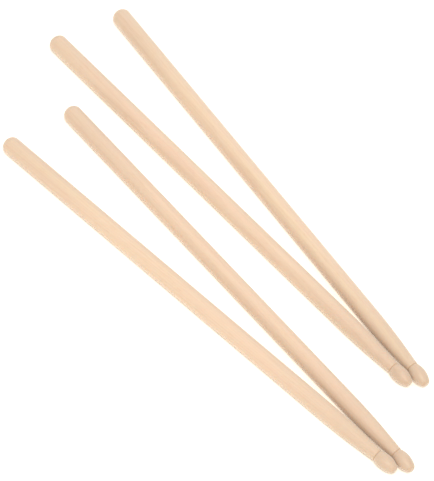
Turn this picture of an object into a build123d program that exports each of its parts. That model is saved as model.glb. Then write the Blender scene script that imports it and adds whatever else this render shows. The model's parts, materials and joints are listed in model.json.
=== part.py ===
# Four turned wooden drumsticks, lying on a flat surface as two pairs.
#
# Frame: millimetres, +Z up. Each shaft rests on the surface z = 0, and the origin is under the
# middle of the whole set. The sticks lie along +X, with their playing tips at the +X end.
# In each pair the sticks lean towards each other, so that the tips lie side by side with a
# hair of clearance and the butts stand apart. The two pairs are turned a little apart as well.

from build123d import *
from math import cos, radians, sin, tan
import os

# ---- one stick, from its butt end to its tip end ----
stick_length = 406.0
shaft_radius = 7.3
butt_dome_length = 6.5        # the butt end is rounded over this length

taper_angle = 4.1             # degrees, the straight taper that runs down to the neck
shoulder_arc_radius = 560.0   # the long soft curve from the shaft into that taper

neck_radius = 4.8
neck_from_tip_end = 18.0
ring_depth = 0.4              # a fine turned groove where the neck meets the tip
ring_half_width = 0.5

tip_radius = 6.0              # the acorn-shaped tip, at its widest
tip_widest_from_end = 11.0
nose_length = 2.0             # the last stretch of the tip, which turns in more sharply
nose_radius = 3.95            # the tip's radius where that stretch starts
tip_flat_radius = 2.0         # the small flat where the lathe parted the tip off

# ---- how the four sticks lie ----
pair_half_angle = 3.375       # degrees, half the angle between the two sticks of a pair
pair_turn = 2.25              # degrees, how far each pair is turned away from the X axis
tip_half_spacing = 5.15       # half the distance across, between the two tip ends of a pair
tip_half_stagger = 3.9        # the left stick's tip is this far ahead, the right one's behind
right, left = -1, 1           # which side of its pair a stick is on, looking towards the tips
first_pair = {"tips": (228.2, -30.3), "heading": pair_turn}    # tips: midway between them
second_pair = {"tips": (178.2, 30.7), "heading": -pair_turn}

# ---- places along the stick, measured from its butt end ----
neck_x = stick_length - neck_from_tip_end
taper_slope = tan(radians(taper_angle))
taper_corner_x = neck_x - (shaft_radius - neck_radius) / taper_slope


def outline():
    """Half of the stick's lengthwise section: X runs along the stick, Y is the radius."""
    ring_start = (neck_x - ring_half_width, neck_radius + taper_slope * ring_half_width)
    ring_bottom = (neck_x, neck_radius - ring_depth)
    ring_end = (neck_x + ring_half_width, neck_radius)
    tip_widest = (stick_length - tip_widest_from_end, tip_radius)

    EllipticalCenterArc(
        (butt_dome_length, 0), butt_dome_length, shaft_radius, start_angle=180, arc_size=-90
    )
    FilletPolyline(
        (butt_dome_length, shaft_radius),
        (taper_corner_x, shaft_radius),
        ring_start,
        radius=shoulder_arc_radius,
    )
    Polyline(ring_start, ring_bottom, ring_end)
    TangentArc(tip_widest, ring_end, tangent=(-1, 0))
    flank = TangentArc(tip_widest, (stick_length - nose_length, nose_radius), tangent=(1, 0))
    TangentArc(flank @ 1, (stick_length, tip_flat_radius), tangent=flank % 1)
    Polyline((stick_length, tip_flat_radius), (stick_length, 0), (0, 0))


def stick_plane(pair, side):
    """The upright plane through one stick's axis: its origin is the butt end, its X runs
    along the stick to the tip, and its Y points up."""
    pair_heading = radians(pair["heading"])
    heading = pair_heading - side * radians(pair_half_angle)
    ahead = side * tip_half_stagger
    across = side * tip_half_spacing
    tip_x = pair["tips"][0] + ahead * cos(pair_heading) - across * sin(pair_heading)
    tip_y = pair["tips"][1] + ahead * sin(pair_heading) + across * cos(pair_heading)
    butt_x = tip_x - stick_length * cos(heading)
    butt_y = tip_y - stick_length * sin(heading)
    return Plane(
        origin=(butt_x, butt_y, shaft_radius),
        x_dir=(cos(heading), sin(heading), 0),
        z_dir=(sin(heading), -cos(heading), 0),
    )


sticks = {
    "first_pair_right_stick": stick_plane(first_pair, right),
    "first_pair_left_stick": stick_plane(first_pair, left),
    "second_pair_right_stick": stick_plane(second_pair, right),
    "second_pair_left_stick": stick_plane(second_pair, left),
}

os.makedirs("parts", exist_ok=True)
for name, plane in sticks.items():
    with BuildPart() as stick:
        with BuildSketch(plane):
            with BuildLine():
                outline()
            make_face()
        revolve(axis=Axis(plane.origin, plane.x_dir))
    stick.part.label = name
    export_step(stick.part, f"parts/{name}.step")
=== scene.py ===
import bpy
import json
from math import atan2, cos, pi, radians, sin, sqrt, tan
from mathutils import Matrix, Quaternion, Vector


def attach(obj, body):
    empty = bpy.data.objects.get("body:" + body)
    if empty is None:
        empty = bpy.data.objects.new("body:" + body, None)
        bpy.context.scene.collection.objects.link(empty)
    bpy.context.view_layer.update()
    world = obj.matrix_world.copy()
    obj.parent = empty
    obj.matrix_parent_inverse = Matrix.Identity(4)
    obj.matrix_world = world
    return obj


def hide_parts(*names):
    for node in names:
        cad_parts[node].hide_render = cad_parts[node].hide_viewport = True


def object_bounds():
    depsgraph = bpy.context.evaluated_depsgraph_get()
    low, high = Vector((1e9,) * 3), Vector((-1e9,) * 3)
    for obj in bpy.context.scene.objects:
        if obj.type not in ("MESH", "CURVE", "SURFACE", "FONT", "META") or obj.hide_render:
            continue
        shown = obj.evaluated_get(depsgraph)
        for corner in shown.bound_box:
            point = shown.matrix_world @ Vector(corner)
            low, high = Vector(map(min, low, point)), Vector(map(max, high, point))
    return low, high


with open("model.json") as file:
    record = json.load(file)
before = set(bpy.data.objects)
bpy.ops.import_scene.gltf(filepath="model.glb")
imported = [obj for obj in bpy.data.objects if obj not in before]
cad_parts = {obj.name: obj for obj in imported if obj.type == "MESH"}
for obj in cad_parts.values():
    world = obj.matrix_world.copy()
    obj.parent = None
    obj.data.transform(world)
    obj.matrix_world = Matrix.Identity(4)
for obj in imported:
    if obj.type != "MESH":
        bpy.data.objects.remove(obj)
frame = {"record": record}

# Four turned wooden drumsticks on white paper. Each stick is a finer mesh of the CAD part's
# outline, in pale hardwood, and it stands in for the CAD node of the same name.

cad_low, cad_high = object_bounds()

MM = 0.001                    # the scene's unit is the metre

# ---- one stick in metres, from its butt end to its tip end, as the CAD part has it ----
STICK_LENGTH = 0.406
SHAFT_RADIUS = 0.0073
BUTT_DOME = 0.0065
TAPER_SLOPE = tan(radians(4.1))
SHOULDER_ARC = 0.560
NECK_X = STICK_LENGTH - 0.018
NECK_RADIUS = 0.0048
RING_DEPTH = 0.0004
RING_HALF_WIDTH = 0.0005
TIP_WIDEST = (STICK_LENGTH - 0.011, 0.006)
NOSE_START = (STICK_LENGTH - 0.002, 0.00395)
TIP_FLAT_RADIUS = 0.002

# ---- how finely a stick is divided: faces round it, and rows of faces along each stretch ----
AROUND = 96
DOME_ROWS = 16
SHAFT_ROWS = 24
SHOULDER_ROWS = 20
TAPER_ROWS = 8
RING_ROWS = 10
SWELL_ROWS = 10               # from the neck to the widest place of the tip
FLANK_ROWS = 14               # from there to the nose
NOSE_ROWS = 8
FLAT_ROWS = 2


# ---------------------------------------------------------------- the turned outline
def spread(start, end, count):
    """count points along a straight run, without its first point."""
    steps = [i / count for i in range(1, count + 1)]
    return [(start[0] + (end[0] - start[0]) * t, start[1] + (end[1] - start[1]) * t) for t in steps]


def tangent_arc(start, direction, end, count):
    """count points on the arc that leaves start along direction and ends at end, without start."""
    chord_x, chord_y = end[0] - start[0], end[1] - start[1]
    normal = (-direction[1], direction[0])
    across = chord_x * normal[0] + chord_y * normal[1]
    radius = (chord_x**2 + chord_y**2) / (2 * across)
    centre = (start[0] + normal[0] * radius, start[1] + normal[1] * radius)
    first = atan2(start[1] - centre[1], start[0] - centre[0])
    turn = atan2(end[1] - centre[1], end[0] - centre[0]) - first
    turn = (turn + pi) % (2 * pi) - pi
    angles = [first + turn * i / count for i in range(1, count + 1)]
    return [(centre[0] + abs(radius) * cos(a), centre[1] + abs(radius) * sin(a)) for a in angles]


def butt_dome():
    """A quarter of an ellipse, from its pole out to the shaft."""
    angles = [pi / 2 * i / DOME_ROWS for i in range(1, DOME_ROWS + 1)]
    return [(BUTT_DOME * (1 - cos(a)), SHAFT_RADIUS * sin(a)) for a in angles]


def turned_ring(start, end):
    """The fine groove at the neck, soft at its edges."""
    groove = []
    for i in range(1, RING_ROWS + 1):
        across = 2 * i / RING_ROWS - 1
        rim = start[1] + (end[1] - start[1]) * i / RING_ROWS
        depth = RING_DEPTH * (1 + cos(pi * across)) / 2
        groove.append((NECK_X + across * RING_HALF_WIDTH, rim - depth))
    return groove


def stick_outline():
    """(place along the stick, radius) from the pole of the butt dome to the tip's flat."""
    corner_x = NECK_X - (SHAFT_RADIUS - NECK_RADIUS) / TAPER_SLOPE
    arc_reach = SHOULDER_ARC * tan(atan2(TAPER_SLOPE, 1) / 2)
    shoulder = (corner_x - arc_reach, SHAFT_RADIUS)
    slant = sqrt(1 + TAPER_SLOPE**2)
    taper = (corner_x + arc_reach / slant, SHAFT_RADIUS - arc_reach * TAPER_SLOPE / slant)
    ring_start = (NECK_X - RING_HALF_WIDTH, NECK_RADIUS + TAPER_SLOPE * RING_HALF_WIDTH)
    ring_end = (NECK_X + RING_HALF_WIDTH, NECK_RADIUS)

    points = butt_dome()
    points += spread(points[-1], shoulder, SHAFT_ROWS)
    points += tangent_arc(shoulder, (1, 0), taper, SHOULDER_ROWS)
    points += spread(taper, ring_start, TAPER_ROWS)
    points += turned_ring(ring_start, ring_end)
    swell = tangent_arc(TIP_WIDEST, (-1, 0), ring_end, SWELL_ROWS)    # drawn from the tip back
    points += swell[-2::-1] + [TIP_WIDEST]
    flank = tangent_arc(TIP_WIDEST, (1, 0), NOSE_START, FLANK_ROWS)
    points += flank
    heading = Vector((flank[-1][0] - flank[-2][0], flank[-1][1] - flank[-2][1])).normalized()
    points += tangent_arc(NOSE_START, heading, (STICK_LENGTH, TIP_FLAT_RADIUS), NOSE_ROWS)
    points += spread(points[-1], (STICK_LENGTH, TIP_FLAT_RADIUS / 2), FLAT_ROWS)
    return points


def turned_mesh(name, outline):
    """A closed mesh turned about local X, with a point at each end of the outline."""
    vertices = [(0.0, 0.0, 0.0)]
    for x, radius in outline:
        for i in range(AROUND):
            angle = 2 * pi * i / AROUND
            vertices.append((x, radius * cos(angle), radius * sin(angle)))
    vertices.append((outline[-1][0], 0.0, 0.0))

    faces = []
    last = len(vertices) - 1
    last_ring = 1 + (len(outline) - 1) * AROUND
    for i in range(AROUND):
        j = (i + 1) % AROUND
        faces.append((0, 1 + j, 1 + i))
        faces.append((last, last_ring + i, last_ring + j))
        for row in range(len(outline) - 1):
            here, there = 1 + row * AROUND, 1 + (row + 1) * AROUND
            faces.append((here + i, here + j, there + j, there + i))
    mesh = bpy.data.meshes.new(name)
    mesh.from_pydata(vertices, [], faces)
    mesh.polygons.foreach_set("use_smooth", [True] * len(mesh.polygons))
    mesh.validate()
    return mesh


# ---------------------------------------------------------------- shader nodes
def fill(node, values):
    """Give a node's input sockets fixed values, by socket name."""
    for socket, value in values.items():
        node.inputs[socket].default_value = value


class Nodes:
    """Short ways to add and join the shader nodes of one material."""

    def __init__(self, material):
        material.use_nodes = True
        self.tree = material.node_tree
        self.shader = self.tree.nodes["Principled BSDF"]

    def add(self, kind, **settings):
        node = self.tree.nodes.new(kind)
        for key, value in settings.items():
            setattr(node, key, value)
        return node

    def join(self, source, target):
        """source is another node's output, or a fixed value."""
        if hasattr(source, "is_output"):
            self.tree.links.new(source, target)
        else:
            target.default_value = source

    def math(self, operation, a, b=0.0, c=0.0):
        node = self.add("ShaderNodeMath", operation=operation)
        for value, socket in zip((a, b, c), node.inputs):
            self.join(value, socket)
        return node.outputs[0]

    def inverse(self, value):
        """1 where value is 0, and 0 where it is 1."""
        return self.math("SUBTRACT", 1.0, value)

    def parts(self, vector):
        """The vector's outputs X, Y and Z."""
        node = self.add("ShaderNodeSeparateXYZ")
        self.join(vector, node.inputs[0])
        return node.outputs

    def scaled(self, vector, scale, offset=(0, 0, 0), turn=(0, 0, 0)):
        node = self.add("ShaderNodeMapping")
        self.join(vector, node.inputs["Vector"])
        fill(node, {"Scale": scale, "Location": offset, "Rotation": turn})
        return node.outputs[0]

    def noise(self, vector, detail, roughness=0.5):
        node = self.add("ShaderNodeTexNoise")
        self.join(vector, node.inputs["Vector"])
        fill(node, {"Scale": 1.0, "Detail": detail, "Roughness": roughness})
        return node.outputs["Fac"]

    def ramp(self, value, start, end):
        """A soft step, 0 at start and 1 at end."""
        node = self.add("ShaderNodeMapRange", interpolation_type="SMOOTHSTEP")
        self.join(value, node.inputs["Value"])
        fill(node, {"From Min": start, "From Max": end})
        return node.outputs["Result"]

    def tint(self, colour, other, amount):
        """colour blended towards other by amount."""
        node = self.add("ShaderNodeMix", data_type="RGBA", clamp_factor=True)
        self.join(amount, node.inputs["Factor"])
        self.join(colour, node.inputs[6])       # A and B of the colour blend
        self.join(other, node.inputs[7])
        return node.outputs[2]


# ---------------------------------------------------------------- the pale wood
PALE = (0.634, 0.471, 0.347, 1)       # most of the wood
CREAM = (0.642, 0.489, 0.347, 1)      # broad lighter, yellower bands
PEACH = (0.638, 0.458, 0.341, 1)      # broad pinker bands
LATEWOOD = (0.500, 0.315, 0.190, 1)   # the thin darker line that ends each year's ring
FLECK = (0.405, 0.240, 0.137, 1)      # short dashes where the rays are cut
END_SHADE = (0.410, 0.307, 0.228, 1)     # painted shade, where the light falls off towards the ends of the stick

RING_SPACING = 0.0019                 # a year's growth
RING_WANDER = 1.6                     # the rings wander by up to this many years' growth
TIP_FADE = 0.004                      # the tip's finish and its painted shade fade in this far each side of the neck
BUTT_SHADE_LENGTH = 0.13                    # painted shade darkens the butt end this far in
STRIKING_SHADE_LENGTH = 0.15                  # painted shade darkens the striking end this far in
GRAIN_DEPTH = 0.00008                 # of the bump

# Noise scales, per metre: along the fibres, then twice across them.
WANDER_SCALE = (9, 110, 110)
BAND_SCALE = (5, 95, 95)
STREAK_SCALE = (13, 620, 620)
FINE_SCALE = (70, 2600, 2600)
FLECK_SCALE = (210, 1500, 1500)
LATHE_ROUND_SCALE = (1400, 0, 0)

WOOD_SURFACE = {
    "Specular IOR Level": 0.4,
    "Sheen Weight": 0.35,             # the fine fuzz that sanding leaves
    "Sheen Roughness": 0.5,
    "Subsurface Weight": 0.15,
    "Subsurface Radius": (1.0, 0.45, 0.2),
    "Subsurface Scale": 0.002,
}


def late_wood(n, place):
    """Year rings round the tree's middle, drawn out into long lines by the cut. Each one darkens
    towards its end, and some years are stronger than others."""
    wander = n.noise(n.scaled(place, WANDER_SCALE), detail=3)
    from_middle = n.add("ShaderNodeVectorMath", operation="LENGTH")
    n.join(n.scaled(place, (0, 1, 1)), from_middle.inputs[0])
    wandered = n.math("MULTIPLY", wander, RING_WANDER)
    years = n.math("MULTIPLY_ADD", from_middle.outputs["Value"], 1 / RING_SPACING, wandered)
    phase = n.math("FRACT", years)
    line = n.math("MULTIPLY", n.ramp(phase, 0.35, 0.90), n.inverse(n.ramp(phase, 0.92, 1.0)))
    year_noise = n.add("ShaderNodeTexWhiteNoise", noise_dimensions="1D")
    n.join(n.math("FLOOR", years), year_noise.inputs["W"])
    return n.math("MULTIPLY", line, n.math("MULTIPLY_ADD", year_noise.outputs["Value"], 0.75, 0.25))


def wood(name, tree_middle, fibre_lean):
    """Fine pale hardwood, its fibres along local X. tree_middle is where the middle of the tree
    lies from the stick's axis, and fibre_lean how far the fibres run off the axis."""
    material = bpy.data.materials.new(name)
    n = Nodes(material)
    coordinates = n.add("ShaderNodeTexCoord").outputs
    place = n.scaled(coordinates["Object"], (1, 1, 1), tree_middle, fibre_lean)

    # Fibres: broad bands, soft streaks in them, and finer ones in those. Rays cut into flecks.
    late = late_wood(n, place)
    bands = n.noise(n.scaled(place, BAND_SCALE), detail=2)
    streaks = n.noise(n.scaled(place, STREAK_SCALE), detail=4, roughness=0.6)
    fine = n.noise(n.scaled(place, FINE_SCALE), detail=3)
    flecks = n.ramp(n.noise(n.scaled(place, FLECK_SCALE), detail=1), 0.66, 0.76)

    # The butt dome and the nose of the tip cut across the fibres, and drink in more oil and dirt.
    facing_along = n.math("ABSOLUTE", n.parts(coordinates["Normal"])["X"])
    end_grain = n.ramp(facing_along, 0.20, 0.95)
    late_amount = n.math("MULTIPLY", late, n.math("MULTIPLY_ADD", end_grain, 0.30, 0.18))

    # The lathe leaves faint rounds on the tip and burnishes it. The ring groove is coloured darker.
    along = n.parts(coordinates["Object"])["X"]
    tip = n.ramp(along, NECK_X - TIP_FADE, NECK_X + TIP_FADE)
    off_ring = n.math("ABSOLUTE", n.math("SUBTRACT", along, NECK_X))
    ring = n.inverse(n.ramp(off_ring, RING_HALF_WIDTH * 0.4, RING_HALF_WIDTH * 1.4))
    rounds = n.noise(n.scaled(coordinates["Object"], LATHE_ROUND_SCALE), detail=1)
    # Painted shade: the wood darkens towards the butt end and the striking end, where the light
    # falls off along the stick.
    butt_end_shade = n.inverse(n.ramp(along, 0.0, BUTT_SHADE_LENGTH))
    striking_end_shade = n.ramp(along, STICK_LENGTH - STRIKING_SHADE_LENGTH, STICK_LENGTH)

    colour = PALE
    for tone, where, amount in (
        (CREAM, n.ramp(bands, 0.50, 0.72), 1.0),
        (PEACH, n.ramp(bands, 0.48, 0.25), 1.0),
        (LATEWOOD, late_amount, 1.0),
        (LATEWOOD, n.ramp(streaks, 0.50, 0.78), 0.28),
        (CREAM, n.ramp(streaks, 0.46, 0.25), 0.7),
        (LATEWOOD, n.ramp(fine, 0.50, 0.72), 0.20),
        (FLECK, flecks, 0.18),
        (LATEWOOD, end_grain, 0.20),
        # painted shade: darker towards both ends and over the tip
        (END_SHADE, butt_end_shade, 0.21),
        (END_SHADE, striking_end_shade, 0.33),
        (END_SHADE, tip, 0.16),
        (FLECK, ring, 0.40),
    ):
        colour = n.tint(colour, tone, n.math("MULTIPLY", where, amount))
    n.join(colour, n.shader.inputs["Base Color"])

    rough = 0.46
    for where, amount in ((fine, 0.14), (late, -0.05), (end_grain, 0.12), (tip, -0.06)):
        rough = n.math("MULTIPLY_ADD", where, amount, rough)
    n.join(rough, n.shader.inputs["Roughness"])
    fill(n.shader, WOOD_SURFACE)

    relief = n.math("MULTIPLY", n.math("MULTIPLY", tip, 0.5), rounds)
    for where, height in ((fine, 0.4), (streaks, 0.6), (flecks, -0.5), (late, 0.25)):
        relief = n.math("MULTIPLY_ADD", where, height, relief)
    bump = n.add("ShaderNodeBump")
    fill(bump, {"Strength": 0.35, "Distance": GRAIN_DEPTH})
    n.join(relief, bump.inputs["Height"])
    n.join(bump.outputs["Normal"], n.shader.inputs["Normal"])
    return material


# ---------------------------------------------------------------- the four sticks
def put_in_scene(name, data):
    thing = bpy.data.objects.new(name, data)
    bpy.context.scene.collection.objects.link(thing)
    return thing


def stick_matrix(shaft):
    """Where a stick lies: its shaft mount is the middle of the plain shaft, and points out of
    the butt."""
    out_of_butt = Vector(shaft["axis"]).normalized()
    half_shaft = shaft["dims"]["length_mm"] * MM / 2
    butt_end = Vector(shaft["pos_m"]) + out_of_butt * (half_shaft + BUTT_DOME)
    along = -out_of_butt
    up = Vector((0, 0, 1))
    matrix = Matrix((along, up.cross(along), up)).transposed().to_4x4()
    matrix.translation = butt_end
    return matrix


GRAIN = {       # where the tree's middle lies (metres) and how the fibres lean (degrees)
    "first_pair_right_stick": ((0.29, 0.050, 0.025), (0.0, 0.9, -0.7)),
    "first_pair_left_stick": ((0.47, -0.019, 0.058), (0.0, -0.6, 1.0)),
    "second_pair_right_stick": ((0.83, 0.034, -0.041), (0.0, 0.7, 0.8)),
    "second_pair_left_stick": ((1.29, -0.052, 0.030), (0.0, -1.1, -0.5)),
}
mounts = {mount["name"]: mount for mount in frame["record"]["mounts"]}
outline = stick_outline()
for node, (tree_middle, lean) in GRAIN.items():
    mesh = turned_mesh("turned_" + node, outline)
    mesh.materials.append(wood("wood_" + node, tree_middle, [radians(a) for a in lean]))
    stick = put_in_scene("turned_" + node, mesh)
    stick.matrix_world = stick_matrix(mounts[node.replace("stick", "shaft")])
    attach(stick, node)
    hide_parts(node)


# ---------------------------------------------------------------- floor, light and camera
FLOOR_REACH = 6.0
PAPER_SURFACE = {
    "Base Color": (0.89, 0.86, 0.81, 1),
    "Roughness": 0.9,
    "Specular IOR Level": 0.2,
    "Emission Color": (1.0, 0.89, 0.76, 1),
    "Emission Strength": 0.25,        # keeps soft shadows on the paper nearly white
}


def paper_floor():
    mesh = bpy.data.meshes.new("floor")
    corners = [(-1, -1), (1, -1), (1, 1), (-1, 1)]
    mesh.from_pydata([(x * FLOOR_REACH, y * FLOOR_REACH, 0) for x, y in corners], [], [(0, 1, 2, 3)])
    material = bpy.data.materials.new("white_paper")
    fill(Nodes(material).shader, PAPER_SURFACE)
    mesh.materials.append(material)
    put_in_scene("floor", mesh)


def area_light(name, place, aim, size, power, colour):
    """A round softbox at place that faces aim. Its size is in metres, its power in watts."""
    light = bpy.data.lights.new(name, "AREA")
    light.shape = "DISK"
    light.size = size
    light.energy = power
    light.color = colour
    lamp = put_in_scene(name, light)
    lamp.location = place
    lamp.rotation_euler = (aim - place).to_track_quat("-Z", "Y").to_euler()


def studio_surround(colour, strength):
    world = bpy.data.worlds.new("studio")
    bpy.context.scene.world = world
    world.use_nodes = True
    fill(world.node_tree.nodes["Background"], {"Color": (*colour, 1), "Strength": strength})


def long_lens_camera(aim, azimuth, elevation, roll, distance, focal_length):
    """Azimuth 0 looks along +Y. Angles are in degrees, the distance in metres, the lens in
    millimetres."""
    azimuth, elevation = radians(azimuth), radians(elevation)
    away = Vector((sin(azimuth) * cos(elevation), -cos(azimuth) * cos(elevation), sin(elevation)))
    camera = put_in_scene("camera", bpy.data.cameras.new("camera"))
    camera.data.lens = focal_length
    camera.data.clip_end = 100
    camera.location = aim + away * distance
    upright = (-away).to_track_quat("-Z", "Y")
    camera.rotation_mode = "QUATERNION"
    camera.rotation_quaternion = upright @ Quaternion((0, 0, 1), radians(roll))
    bpy.context.scene.camera = camera


middle = (cad_low + cad_high) / 2
paper_floor()
studio_surround(colour=(0.97, 1.01, 1.05), strength=0.77)
area_light(             # behind and above the camera
    "softbox",
    place=middle + Vector((2.1, -2.3, 6.85)),
    aim=middle,
    size=2.0,
    power=400,
    colour=(1.0, 0.93, 0.80),
)
area_light(             # brightens the far rims of the sticks
    "back_softbox",
    place=middle + Vector((-2.6, 3.4, 3.6)),
    aim=middle,
    size=3.0,
    power=54,
    colour=(1.0, 1.0, 1.0),
)
long_lens_camera(
    aim=middle + Vector((-0.0122, -0.0053, 0)),
    azimuth=38.07,
    elevation=54.73,
    roll=12.62,
    distance=4.5616,
    focal_length=447.13,
)
bpy.context.scene.view_settings.view_transform = "Standard"
